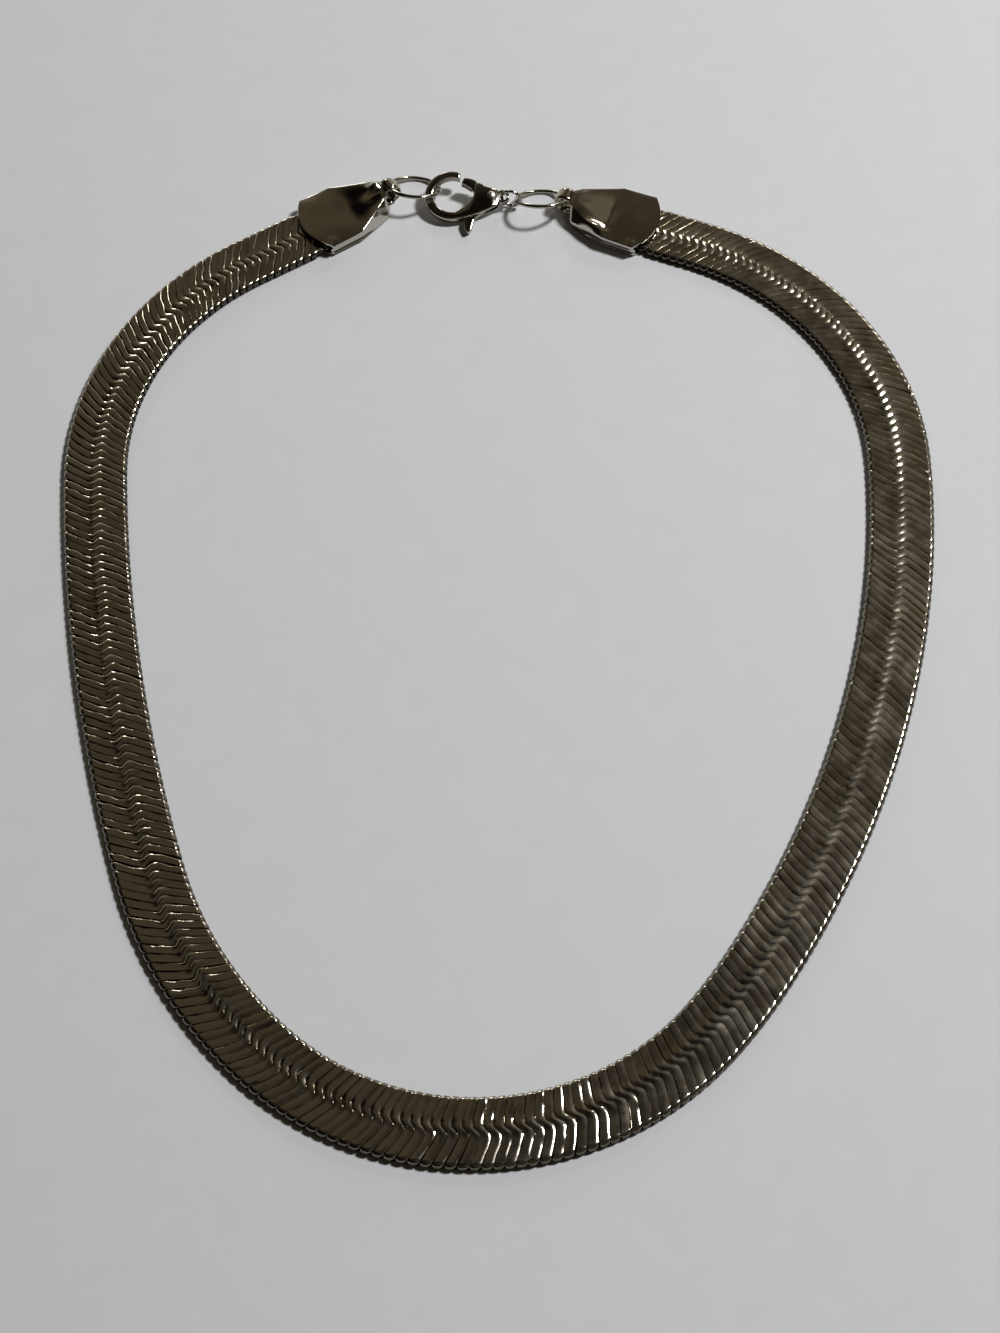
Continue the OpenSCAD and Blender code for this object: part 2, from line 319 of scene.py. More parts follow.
def edge_wear(rng, s, v, column, inner_share):
    """How worn one long edge is, 0 to MOST_WORN. It follows the table along the band, differs
    from link to link, swells and fades along each link as a sine of the place across, is half
    as strong at the hook, and has its own share on the inner arm."""
    count = len(s)
    own = np.exp(LINK_SPREAD * rng.normal(0, 1, count))[:, None, None]
    phase = (PHASE_DRIFT * wander(rng, count, 3) + rng.normal(0, 1, count))[:, None, None]
    patch = PATCH_MEAN + PATCH_SWING * np.sin(PATCH_TURN * v + phase)
    at_hook = 1 - HOOK_LESS * np.exp(-((v - HOOK_V) / HOOK_LESS_MM) ** 2)
    share = np.where(v < 0, inner_share, 1.0) * at_hook
    worn = np.interp(s, WEAR[:, 0], WEAR[:, column]) * own * patch * share
    return np.clip(worn, 0, MOST_WORN)


print("the most worn stretch begins at", WEAR[WEAR[:, 1].argmax(), 0], "mm")

# %% How links differ and where they stand up
# how a link differs from the next: the share that drifts, over how many links it drifts, and
# the share of its own. Tilt, twist, roll and sink are in mm at the edge, and sway in degrees
LOOSENESS = ((0.05, 2, 0.0),           # place
             (0.015, 5, 0.012),        # tilt
             (0.015, 4, 0.01),         # twist
             (0.025, 3, 0.0),          # roll
             (0.0, 1, 0.01),           # sink
             (1.5, 6, 0.3))            # sway
LOWERED, LOWEST = 0.04, 0.14           # all links lie this much lower, and none lower than that
# the hooks stand up as a low ridge between these two places across the band, and least along
# the stretch that has been worn flattest
RIDGE_IN, RIDGE_OUT, RIDGE_SLOPE, RIDGE_H, HOOK_CROWN = -1.45, 0.4, 0.28, 0.09, 0.10
RIDGE_SHARE = np.array([(225, 1.0), (245, 0.6), (325, 0.6), (342, 1.0)])
# the links go on inside the caps for some way. There they shrink at their foot, at their crown
# and in their width, so that the pocket clears them
SPARE, TUCK_OVER, TUCK_FOOT, TUCK_CROWN, TUCK_WIDTH = 6.0, 0.2, 0.45, 0.03, 0.04
FOOT_Z, CROWN_GAP = 0.02, 0.01         # the links clear the surface and the CAD band's top
TIP_WIDTH, TIP_LEAST = 0.3, 0.0025     # what is left of a link's width and height at its tip
BEAD, BEAD_LEAST = 0.9, 0.04           # how much its tip is rounded like a bead
EDGE_V = 5.0                           # where twist and roll are measured, from the midline


def differing(rng, count, drift, reach, own):
    """One number for each link as (link, 1, 1): drift times a number that wanders over reach
    links, plus own times a random number. Nothing is drawn for a share of 0."""
    number = np.zeros(count)
    if drift:
        number = number + drift * wander(rng, count, reach)
    if own:
        number = number + own * rng.normal(0, 1, count)
    return number[:, None, None]


def hook_ridge(s, v, across):
    """How far the hooks stand up: a step up and a step down across the band, each a tanh, less
    a parabola round the bar, times the share along the band."""
    steps = (np.tanh((v - RIDGE_IN) / RIDGE_SLOPE) - np.tanh((v - RIDGE_OUT) / RIDGE_SLOPE)) / 2
    share = np.interp(s, RIDGE_SHARE[:, 0], RIDGE_SHARE[:, 1])
    return steps * share * (RIDGE_H - HOOK_CROWN * across ** 2)


print("the ridge is", round(float(hook_ridge(0, -0.5, 0)), 3), "mm high")

# %% All links at once
def link_points(rng):
    """Points of all links as an array (link, along, round, xyz), and the painted shade at each. A
    point's height is that of the crown, less the section's drop and the link's own tilt and
    roll. Round the ends it follows a circle, and the section turns round like a bead. At the
    hook the crown stands higher and is rounder."""
    count = int((LENGTH + 2 * SPARE) / PITCH)
    place, tilt, twist, roll, sink, sway = [differing(rng, count, *row) for row in LOOSENESS]
    evenly = (LENGTH - (count - 1) * PITCH) / 2 + PITCH * np.arange(count)
    centre = evenly[:, None, None] + place
    v = ALONG[None, :, None] * np.ones_like(centre)
    worn = np.where(CRISP < 0, edge_wear(rng, centre, v, 1, 1.0),
                    edge_wear(rng, centre, v, 2, 0.6))
    across = CRISP + worn * (WORN - CRISP)
    turn = 1 - np.clip((BAND_W / 2 - np.abs(v)) / END_ROUND, 0, 1)
    end = np.sqrt(np.clip(1 - turn ** 2, TIP_LEAST, 1))
    s = centre + lead(centre, v, sway) + across * PITCH / 2 * (TIP_WIDTH + (1 - TIP_WIDTH) * end)
    inside = np.clip(-np.minimum(s, LENGTH - s) / TUCK_OVER, 0, 1)
    bottom = FOOT_Z + TUCK_FOOT * inside
    top = BAND_T - CROWN_GAP - RIDGE_H - TUCK_CROWN * inside
    middle = (bottom + top) / 2
    own = (tilt + twist * v / EDGE_V) * across + roll * v / EDGE_V + sink
    own = np.clip(own - LOWERED, -LOWEST, 0) + hook_ridge(centre, v, across)
    bead = np.sqrt(np.clip(1 - BEAD * (turn * across) ** 2, BEAD_LEAST, 1))
    over = middle + (top - middle - DROP * (1 - turn) + own) * end * bead
    z = np.where(UNDER == 1, middle - (middle - bottom) * end, over)
    x, y, heading = midline(s)
    v = v * (1 - TUCK_WIDTH * inside)
    points = np.stack([x + v * np.sin(heading), y - v * np.cos(heading), z], axis=-1)
    # painted shade at the rounded tips of the links, darkest at the very tip
    tip_shade = 0.85 * turn ** 1.3
    return points, np.maximum(GAP_SHADE, tip_shade)


links, crevice = link_points(np.random.default_rng(7))
link_count, stations, around = links.shape[:3]
print(link_count, "links,", PITCH, "mm apart")

# %% The woven band
sides = grid_faces(stations, around)
tips = np.array([np.arange(around)[::-1], (stations - 1) * around + np.arange(around)])
first = (np.arange(link_count) * stations * around)[:, None, None]
link_faces = [*(sides + first).reshape(-1, 4), *(tips + first).reshape(-1, around)]
woven = new_piece("woven_links", links.reshape(-1, 3), link_faces, link_plate, sharp_deg=32)
# painted shade: each point's darkening goes on the mesh as an attribute that the link wire's
# shader reads
shade_attribute = woven.data.attributes.new("crevice", "FLOAT", "POINT")
shade_attribute.data.foreach_set("value", crevice.ravel().astype(np.float32))
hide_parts("chain")

# %% [markdown]
# ## Shapes with soft corners
#
# Sheet that has been folded and metal that has been cast and tumbled have no sharp edges: a
# thin line of light runs along every corner, and it is what the eye knows polished metal by.
# Caps, clasp and rings are therefore all drawn in the same way, as a section that follows a
# path. Its corners are cut back along both edges and bridged by a curve.

# %% Rounded corners
def rounded(corners, radius, steps=4):
    """The outline of a polygon, or of many at once as (..., corner, xy), with soft corners.
    Each corner is cut back by its radius, at most 0.48 of an edge, and a quadratic Bezier
    curve whose middle handle is the corner itself bridges the cut."""
    before, after = np.roll(corners, 1, axis=-2), np.roll(corners, -1, axis=-2)
    reach = np.asarray(radius, dtype=float)
    curve = []
    for other in (before, after):
        edge = np.linalg.norm(other - corners, axis=-1)
        share = np.minimum(reach / np.maximum(edge, 1e-9), 0.48)
        curve.append(corners + (other - corners) * share[..., None])
    t = np.linspace(0, 1, steps + 1)[:, None]
    start, end, handle = (c[..., None, :] for c in (*curve, corners))
    bend = start * (1 - t) ** 2 + 2 * handle * t * (1 - t) + end * t ** 2
    return bend.reshape(*corners.shape[:-2], -1, 2)


SQUARE = np.array([(0.0, 0.0), (1.0, 0.0), (1.0, 1.0), (0.0, 1.0)])
print("a square with soft corners has", len(rounded(SQUARE, 0.1)), "points")

# %% Curves
def smooth_curve(keys, count):
    """count points on a smooth curve through the key points: in each span a cubic whose slope
    at a key is half the step between the key's two neighbours."""
    keys = np.asarray(keys, dtype=float)
    spot = np.linspace(0, len(keys) - 1, count)
    span = np.minimum(spot.astype(int), len(keys) - 2)
    t = (spot - span)[:, None]
    slope = np.gradient(keys, axis=0)
    return (keys[span] * (2 * t ** 3 - 3 * t ** 2 + 1) + keys[span + 1] * (3 * t ** 2 - 2 * t ** 3)
            + slope[span] * (t ** 3 - 2 * t ** 2 + t) + slope[span + 1] * (t ** 3 - t ** 2))


def arc(centre, radius, start_deg, end_deg, count):
    """count points on a circle from one angle to another."""
    angle = np.radians(np.linspace(start_deg, end_deg, count))
    return np.stack([centre[0] + radius * np.cos(angle), centre[1] + radius * np.sin(angle)], -1)


print("halfway round the square's curve:", smooth_curve(SQUARE, 3)[1])

# %% Bars and their ends
MIDDLE_SOFT = 0.4                      # how far the crown's fold is rounded, as a share of a bar


def bar(left, right, low, high, top_round, low_round=None, crown=0.0):
    """A bar as (row, round, xyz). Row by row it spans from its left to its right edge point
    and from low to high, and its top is higher in the middle by crown."""
    low_round = top_round if low_round is None else low_round
    low, high = (np.broadcast_to(z, len(left)).astype(float) for z in (low, high))
    one, none = np.ones(len(left)), np.zeros(len(left))
    span = np.linalg.norm(right - left, axis=-1)
    corners = np.stack([np.stack(c, -1) for c in (
        (none, low), (span, low), (span, high), (0.5 * span, high + crown), (none, high))], 1)
    wide = np.stack([one * low_round, one * low_round, one * top_round, MIDDLE_SOFT * span,
                     one * top_round], -1)
    section = rounded(corners, wide)
    share = section[..., 0] / span[:, None]
    plan = left[:, None] + (right - left)[:, None] * share[..., None]
    return np.concatenate([plan, section[..., 1:]], axis=-1)


def soft_ends(rows, reach, shrink=0.72):
    """The same rows with one more at each end, smaller and further on by reach, so that the
    flat end has a bevel round it."""
    middle = rows.mean(axis=1, keepdims=True)
    ends = []
    for end, inner in ((0, 1), (-1, -2)):
        ahead = middle[end] - middle[inner]
        ahead = ahead / np.linalg.norm(ahead)
        ends.append((middle[end] + shrink * (rows[end] - middle[end]) + reach * ahead)[None])
    return np.concatenate([ends[0], rows, ends[1]])


plank = bar(SQUARE[:2], SQUARE[[3, 2]], 0.0, 0.5, 0.05)
print("a bar of two rows has", plank.shape[1], "points a row, and", len(soft_ends(plank, 0.1)),
      "rows with soft ends")

# %% Closed shells
def shell_faces(points, closed_rows=False):
    """The faces of rows that each close round. Rows that don't join up end in a flat face."""
    rows, ring = points.shape[:2]
    faces = [list(f) for f in grid_faces(rows, ring, close_rows=closed_rows)]
    if not closed_rows:
        faces += [list(range(ring)), list(range((rows - 1) * ring, rows * ring))]
    return faces


def solid_piece(name, shells, material, body=NECKLACE, sharp_deg=40.0):
    """One piece from several closed shells, each as (points, whether its rows join up)."""
    points, faces = [], []
    for shell, closed in shells:
        faces += [[corner + sum(map(len, points)) for corner in f]
                  for f in shell_faces(shell, closed)]
        points.append(shell.reshape(-1, 3))
    return new_piece(name, np.concatenate(points), faces, material, body, sharp_deg)


print("the bar has", len(shell_faces(plank)), "faces with its two flat ends")

# %% Rings and turns
def ring_of(section, count, start=0.0, turn=360.0):
    """A section of (radius, height) points swept about z through turn degrees."""
    angle = np.radians(start + turn * np.arange(count) / (count - (turn < 360)))[:, None]
    return np.stack([section[:, 0] * np.cos(angle), section[:, 0] * np.sin(angle),
                     section[:, 1] + 0 * angle], axis=-1)


def turned(points, *turns):
    """Points turned by angles in degrees about axes, the first turn first."""
    for axis, degrees in turns:
        points = points @ np.array(Matrix.Rotation(math.radians(degrees), 3, axis)).T
    return points


print("x turned by 90 degrees about z:", turned(np.array([1.0, 0, 0]), ("Z", 90)).round(3))

# %% [markdown]
# ## End caps
#
# A cap is one blank of thin sheet. Its two plates close on the band's end like a book, with
# folded walls at the sides and a mouth that bulges over the band. Towards the nose the upper
# plate climbs and narrows to a ridge, steep facets fall from it to the sides, and a tongue of
# the sheet is rolled into the loop for the jump ring. A flat blank could be folded by its
# edges, but a section that changes along the cap gives soft folds with less work. The surface
# starts inside the pocket, comes out, turns round the lip and then runs on to the nose.

# %% Shape of a cap, along x from the band's end
SHEET = 0.35
MOUTH_X, MOUTH_BULGE, CAP_HALF, CAP_H = 2.6, 2.4, 6.0, 2.4
SHOULDER_X, SHOULDER_HALF, FOLD_SOFT = 8.2, 5.8, 2.6
NECK_X, NECK_HALF = 15.8, 3.2
RIDGE_X, RIDGE_HALF, RIDGE_Z = 16.3, 1.25, 3.85
PLATE_EDGE = 0.08                     # how far the folded walls stand out past the flat plate
LOOP_X, LOOP_Z, LOOP_BORE, LOOP_R, LOOP_W, LOOP_BEVEL = 16.52, 2.22, 1.55, 1.9, 2.6, 0.45
PINCH_X, NOSE_HALF = 14.4, 1.28       # where the sides turn in towards the loop, and how far
PINCH_END = LOOP_X - 1.2
NOSE_EDGE = 0.15                      # the upper plate is this much narrower there than the wall
WALL_LEAN = 0.45                      # how far the folded walls tuck in at their foot
WALL_LEAST, WALL_BELOW = 0.9, 0.12    # the wall's least height, and how far it stays below the top
CROWN = 0.16                          # how much higher the upper plate is in the middle
# the groove between the plates: depth, where it ends, over what length it fades, and the four
# heights at which it begins and ends, as shares of the wall
GROOVE, GROOVE_END, GROOVE_FADE = 0.3, 11.5, 2
GROOVE_AT = (0.34, 0.42, 0.72, 0.80)
# how far each corner of half a section is rounded, from the foot to the crown
HALF_ROUND = np.array([0.35, 0.1, 0.06, 0.06, 0.1, 0.14, 0.16, 2.0, 2.0])
CAP_ROUND = np.concatenate([HALF_ROUND, HALF_ROUND[::-1]])
print("a cap is", 2 * CAP_HALF, "mm wide and", round(LOOP_X + LOOP_R, 2), "mm long")

# %% Section of a cap
def cap_section(x, inset, facet_fall):
    """Corners of the cap's section at each x, a sheet's inset within the outer surface. The
    upper plate's half width and height follow straight lines from shoulder to ridge, and the
    facet falls from there to the wall, by facet_fall mm for each mm outwards. The fold at the
    shoulder is a hyperbola. A groove along the wall parts the upper plate from the lower one."""
    gone = x - SHOULDER_X
    climb = (gone + np.sqrt(gone ** 2 + FOLD_SOFT ** 2)) / 2 / (RIDGE_X - SHOULDER_X)
    pinch = np.clip((x - PINCH_X) / (PINCH_END - PINCH_X), 0, 1)
    pinch = pinch ** 2 * (3 - 2 * pinch)
    half = np.interp(x, [MOUTH_X, SHOULDER_X, NECK_X], [CAP_HALF, SHOULDER_HALF, NECK_HALF])
    half = half + pinch * (NOSE_HALF - half) - inset
    top = CAP_H + climb * (RIDGE_Z - CAP_H) - inset
    plate = np.interp(x, [MOUTH_X, SHOULDER_X, RIDGE_X],
                      [CAP_HALF - PLATE_EDGE, SHOULDER_HALF - PLATE_EDGE, RIDGE_HALF])
    plate = np.minimum(plate + pinch * (NOSE_HALF - NOSE_EDGE - plate) - inset,
                       half - PLATE_EDGE)
    wall = np.clip(top - facet_fall * (half - plate), WALL_LEAST, top - WALL_BELOW)
    low = inset + 0 * x
    foot = half - WALL_LEAN
    crown = top + CROWN * (1 - pinch)
    groove = half - GROOVE * np.clip((GROOVE_END - x) / GROOVE_FADE, 0, 1)
    heights = [share * wall for share in GROOVE_AT]
    side = [(foot, low), *zip((half, groove, groove, half), heights), (half, wall), (plate, top),
            (0.75 * plate, (top + crown) / 2), (0.4 * plate, crown)]
    left = [(-y, z) for y, z in reversed(side)]
    return np.stack([np.stack(c, -1) for c in side + left], axis=1)


print("corners of a cap's section:", cap_section(np.array([SHOULDER_X]), 0.0, 2.0).shape[1])

# %% Dents
# where pliers and wear have pushed each upper plate in or out: x, y, reach along and across
# the cap, and height, in mm
DENTS_LEFT = [(14.5, 1.0, 0.95, 0.8, 0.62), (13.0, -0.8, 1.8, 1.0, -0.18),
              (8.6, -0.4, 2.6, 3.2, -0.20), (3.9, 4.2, 1.8, 1.6, 0.10),
              (3.2, -5.0, 0.6, 0.7, 0.16)]
DENTS_RIGHT = [(10.3, 4.3, 1.9, 0.8, 0.50), (12.6, 1.2, 2.0, 1.6, 0.16),
               (8.4, 1.0, 0.8, 2.0, -0.20), (5.2, -0.5, 2.0, 2.6, 0.12),
               (3.3, 5.0, 0.6, 0.6, 0.16)]
# how steeply each cap's facets fall: the right one has been pressed a little flatter
FALL_LEFT, FALL_RIGHT = 2.5, 1.45
UPPER_FROM, UPPER_OVER = 1.6, 0.5      # the height where the upper plate begins, in mm


def dented(rows, dents):
    """The cap's rows with bell-shaped dents and welts in the upper plate: each lifts a point
    by its height times exp of minus the squared distance over its squared reach."""
    x, y, z = np.moveaxis(rows, -1, 0)
    upper = np.clip((z - UPPER_FROM) / UPPER_OVER, 0, 1)
    lift = sum(height * np.exp(-((x - at_x) / along) ** 2 - ((y - at_y) / across) ** 2)
               for at_x, at_y, along, across, height in dents)
    return np.stack([x, y, z + upper * lift], axis=-1)


print("dents left and right:", len(DENTS_LEFT), len(DENTS_RIGHT))

# %% Rows of a cap
BORE_CLEAR = 0.12                      # the plates end so far outside the loop's bore
NOSE_FROM, NOSE_OVER = 14.6, 0.6       # where rows begin to follow the bore, and over what length
BORE_LEAST = 0.3                       # keeps the square root off zero above and below the bore
LIP_OUT, POCKET_END, POCKET_ROWS = 0.09, 11.0, 8
# x of the outer surface's rows, closer together towards the nose
OUTER_X = np.concatenate([np.linspace(MOUTH_X, SHOULDER_X - 0.25, 14),
                          np.linspace(SHOULDER_X, PINCH_X, 18),
                          np.linspace(PINCH_X + 0.15, LOOP_X - 1.3, 9)])


def cap_rows(x, inset, facet_fall):
    """Rows of the cap's surface as (row, round, xyz). Near the mouth a row bulges forward in
    the middle as an arc does, and at the nose it ends round the loop's bore."""
    section = rounded(cap_section(x, inset, facet_fall), CAP_ROUND)
    y, z = section[..., 0], section[..., 1]
    near_mouth = np.clip((SHOULDER_X - x) / (SHOULDER_X - MOUTH_X), 0, 1)[:, None]
    forward = MOUTH_BULGE * (1 - (y / CAP_HALF) ** 2) * near_mouth
    depth_squared = (LOOP_BORE + BORE_CLEAR) ** 2 - (z - LOOP_Z) ** 2
    bore_edge = LOOP_X - np.sqrt(np.maximum(depth_squared, BORE_LEAST))
    at_nose = np.clip((x - NOSE_FROM) / NOSE_OVER, 0, 1)[:, None]
    x = x[:, None] - forward
    return np.stack([x + at_nose * (bore_edge - x), y, z], axis=-1)


print(len(OUTER_X), "rows of", cap_rows(OUTER_X, 0.0, 2.0).shape[1], "points outside")

# %% Both caps
LOOP_CORNER, LOOP_SOFT, LOOP_ROWS = 0.2, 0.15, 72


def end_cap(name, x, y, heading_deg, dents, facet_fall):
    """A cap whose band's end lies at x, y and whose nose points along the heading."""
    outer = dented(cap_rows(OUTER_X, 0.0, facet_fall), dents)
    lip = cap_rows(np.array([MOUTH_X]), SHEET / 2, facet_fall) - (LIP_OUT, 0, 0)
    pocket = cap_rows(np.linspace(POCKET_END, MOUTH_X, POCKET_ROWS), SHEET, facet_fall)
    sheet = np.concatenate([pocket, lip, outer])
    edge, bevel, shoulder = LOOP_W / 2, LOOP_W / 2 - LOOP_BEVEL, LOOP_R - LOOP_CORNER
    corners = [(LOOP_BORE, -edge), (shoulder, -edge), (LOOP_R, -bevel), (LOOP_R, bevel),
               (shoulder, edge), (LOOP_BORE, edge)]
    rolled = ring_of(rounded(np.array(corners), LOOP_SOFT), LOOP_ROWS)
    loop = turned(rolled, ("X", 90)) + (LOOP_X, 0, LOOP_Z)
    shells = [(turned(s, ("Z", heading_deg)) + (x, y, 0), closed)
              for s, closed in ((sheet, False), (loop, True))]
    cap = solid_piece(name, shells, cap_plate, sharp_deg=60)
    return cap


end_x, end_y, end_heading = midline(np.array(LENGTH))
left_cap = end_cap("folded_cap_left", START_X, START_Y, math.degrees(START_HEADING) + 180,
                   DENTS_LEFT, FALL_LEFT)
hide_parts("end_cap_left")
right_cap = end_cap("folded_cap_right", float(end_x), float(end_y),
                    math.degrees(float(end_heading)), DENTS_RIGHT, FALL_RIGHT)
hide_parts("end_cap_right")

# %% [markdown]
# ## Rings
#
# A jump ring is wound from wire on a rod, cut off and closed again, so each has a hair of a
# seam. The large ones lie tilted, with the far side on the surface and the near side up, and
# hold the hook and the caps together. The small one stands in the clasp's eye. A torus has no
# seam, so the wire's section is swept not quite all the way round.

# %% Jump rings
RING_ACROSS, RING_WIRE = 8.5, 0.7
SEAM_MM, ROUND_WIRE_DEG, WOUND_ROWS = 0.05, 20, 120
RING_OFF_FLOOR = 0.02


def wire_ring(name, node, across, wire, place, turns, seam_deg):
    """A ring of round wire, across its middle line, with its seam at one angle."""
    angle = np.radians(np.arange(0, 360, ROUND_WIRE_DEG))
    section = np.stack([across / 2 + wire / 2 * np.cos(angle), wire / 2 * np.sin(angle)], -1)
    gap = math.degrees(SEAM_MM / (across / 2))
    wound = ring_of(section, WOUND_ROWS, seam_deg + gap / 2, 360 - gap)
    ring = solid_piece(name, [(turned(wound, *turns) + place, False)], ring_plate)
    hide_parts(node)


def lying_ring(name, node, x, y, tilt, roll, turn, seam_deg):
    """A large ring tilted near edge up and rolled, with its lowest point just off the floor."""
    slope = math.hypot(math.sin(math.radians(roll)),
                       math.cos(math.radians(roll)) * math.sin(math.radians(tilt)))
    height = slope * RING_ACROSS / 2 + RING_WIRE / 2 + RING_OFF_FLOOR
    wire_ring(name, node, RING_ACROSS, RING_WIRE, (x, y, height),
              (("X", -tilt), ("Y", roll), ("Z", turn)), seam_deg)


lying_ring("wound_ring_left", "jump_ring_left", -12.49, 82.91, 25.8, 3.6, -6.8, 250)
lying_ring("wound_ring_right", "jump_ring_right", 8.84, 79.3, 30.2, 0.3, -0.7, 290)
wire_ring("wound_tail_ring", "tail_ring", 3.3, 0.55, (3.75, 79.9, 2.2),
          (("X", 90), ("Z", -14)), 60)

# %% [markdown]
# ## Lobster clasp
#
# The body is one casting: a crescent hook that swells into a drop-shaped belly and tapers to
# the tail's eye. A slot splits the belly into two cheeks, and the lever turns in it on a
# rivet: one arm is the gate that shuts the hook, the other comes out through the spine as the
# thumb tab. Tumbling has left every edge soft, which Booleans on blocks would not give. The
# outline is drawn in the clasp's own plane, x towards the tail and y towards the gate, and
# then tilted as it lies.

# %% Sizes of the clasp
CLASP_AT, CLASP_TILT = (-4.11, 81.07, 2.2), 15.0
HOOK_C, HOOK_R, OPENING_C, OPENING_R = (-2.2, -0.45), 4.5, (-2.05, -0.35), 3.15
HOOK_OUTER_DEG, HOOK_INNER_DEG, HOOK_ROWS = (71.2, 277.0), (65.6, 275.0), 46
SPINE_FROM, SPINE_R, BELLY_ROWS = -82.0, 19.5, 52
HOOK_HALF_T, BODY_HALF_T, TAIL_HALF_T, SLOT_HALF, SEAM_LAP = 0.85, 1.0, 0.75, 0.5, 0.05
SLOT_FROM = -0.8                      # x where the slot begins
CAST_SOFT, CAST_CROWN, CAST_BEVEL = 0.42, 0.06, 0.12
EYE_C, EYE_HOLE_R, EYE_R, EYE_HALF_T = (6.35, -0.8), 0.75, 1.2, 0.6
PIVOT = np.array([4.45, -0.7])
# belly and tail: x of the spine edge, then the inner edge beside it
BELLY = [(-1.57, -1.7, -3.48), (-0.75, -0.8, -3.05), (0.1, 0.2, -2.45), (0.9, 1.15, -1.4),
         (1.5, 1.58, -0.3), (2.0, 1.62, 0.5), (2.4, 1.78, 1.2), (2.8, 2.28, 1.72),
         (3.4, 3.0, 1.45), (4.1, 3.8, 0.95), (4.8, 4.7, 0.68), (5.55, 5.55, 0.45)]


def in_clasp(points):
    """Points drawn in the clasp's own plane, put where the clasp lies."""
    return turned(points, ("X", CLASP_TILT)) + CLASP_AT


print("the clasp's eye lies at", in_clasp(np.array([*EYE_C, 0])).round(2))

# %% Clasp body
def clasp_half():
    """The body's upper half. The hook's rows run between two circles, and the belly's between
    the long arc of the spine and the curve beside the opening. Where the slot is, the half
    starts at the slot's wall, and elsewhere a hair past the middle plane."""
    hook_outer = arc(HOOK_C, HOOK_R, *HOOK_OUTER_DEG, HOOK_ROWS)
    hook_inner = arc(OPENING_C, OPENING_R, *HOOK_INNER_DEG, HOOK_ROWS)
    belly = smooth_curve(BELLY, BELLY_ROWS)
    lean = math.radians(SPINE_FROM)
    spine_c = np.array(HOOK_C) - (SPINE_R - HOOK_R) * np.array([math.cos(lean), math.sin(lean)])
    spine_y = spine_c[1] - np.sqrt(SPINE_R ** 2 - (belly[:, 0] - spine_c[0]) ** 2)
    outer = np.concatenate([hook_outer, np.stack([belly[:, 0], spine_y], -1)])
    inner = np.concatenate([hook_inner, belly[:, 1:]])
    along = np.concatenate([np.full(HOOK_ROWS, -9.0), belly[:, 0]])
    high = np.interp(along, [-1.6, 0.8, 4.6, 5.55],
                     [HOOK_HALF_T, BODY_HALF_T, BODY_HALF_T, TAIL_HALF_T])
    low = np.where(along > SLOT_FROM, SLOT_HALF, -SEAM_LAP)
    rows = bar(outer, inner, low, high - CAST_CROWN, top_round=CAST_SOFT, low_round=0.02,
               crown=CAST_CROWN)
    return soft_ends(rows, CAST_BEVEL)


upper = clasp_half()
eye_section = rounded(np.array([(EYE_HOLE_R, -EYE_HALF_T), (EYE_R, -EYE_HALF_T),
                                (EYE_R, EYE_HALF_T), (EYE_HOLE_R, EYE_HALF_T)]), 0.2)
eye = ring_of(eye_section, 48) + (*EYE_C, 0)
clasp = solid_piece("cast_clasp", [(in_clasp(upper), False), (in_clasp(upper * (1, 1, -1)), False),
                                   (in_clasp(eye), True)], cast_plate, sharp_deg=50)
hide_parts("clasp_body")

# %% Lever
LEVER_HALF_T, BOSS_R, BOSS_HOLE_R = 0.4, 0.8, 0.45
LEVER_CROWN, LEVER_BEVEL = 0.04, 0.08
# edges of the gate from its free end to the boss: upper x, y and lower x, y
GATE = [(0.1, 2.75, -0.45, 1.7), (0.6, 2.72, 0.0, 1.52), (1.25, 2.56, 0.45, 1.22),
        (1.9, 2.25, 0.95, 0.86), (2.2, 2.05, 1.2, 0.66), (2.9, 1.55, 1.8, 0.1),
        (3.5, 0.95, 2.6, -0.55), (4.1, 0.0, 3.75, -0.95)]
# and of the tab from the boss to its tip: right x, y and left x, y
TAB = [(5.0, -1.25, 3.95, -1.25), (4.5, -2.3, 2.9, -1.9), (3.2, -3.5, 1.4, -2.9),
       (2.0, -4.35, 0.1, -3.9), (1.62, -4.85, -0.26, -4.6), (1.5, -5.2, -0.24, -5.2),
       (1.25, -6.2, -0.18, -6.2), (0.95, -7.1, -0.05, -7.0), (0.6, -7.36, 0.2, -7.34)]


def lever_arm(edges, count, thick_from, low, high, soft):
    """An arm of the lever between its two edges. Its rows before or after a share of its
    length are thicker, from low to high."""
    keys = smooth_curve(edges, count)
    share = np.arange(count) / (count - 1)
    thick = share < thick_from if thick_from > 0 else share > -thick_from
    rows = bar(keys[:, :2], keys[:, 2:], np.where(thick, low, -LEVER_HALF_T),
               np.where(thick, high, LEVER_HALF_T), top_round=soft, crown=LEVER_CROWN)
    return in_clasp(soft_ends(rows, LEVER_BEVEL))


boss_section = rounded(np.array([(BOSS_HOLE_R, -LEVER_HALF_T), (BOSS_R, -LEVER_HALF_T),
                                 (BOSS_R, LEVER_HALF_T), (BOSS_HOLE_R, LEVER_HALF_T)]), 0.06)
boss = in_clasp(ring_of(boss_section, 48) + (*PIVOT, 0))
gate = lever_arm(GATE, 36, 0.58, -0.83, 0.8, 0.34)
tab = lever_arm(TAB, 44, -0.6, 0.02, 0.86, 0.3)
lever = solid_piece("cast_lever", [(gate, False), (tab, False), (boss, True)], cast_plate,
                    body=LEVER, sharp_deg=50)
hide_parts("clasp_lever")

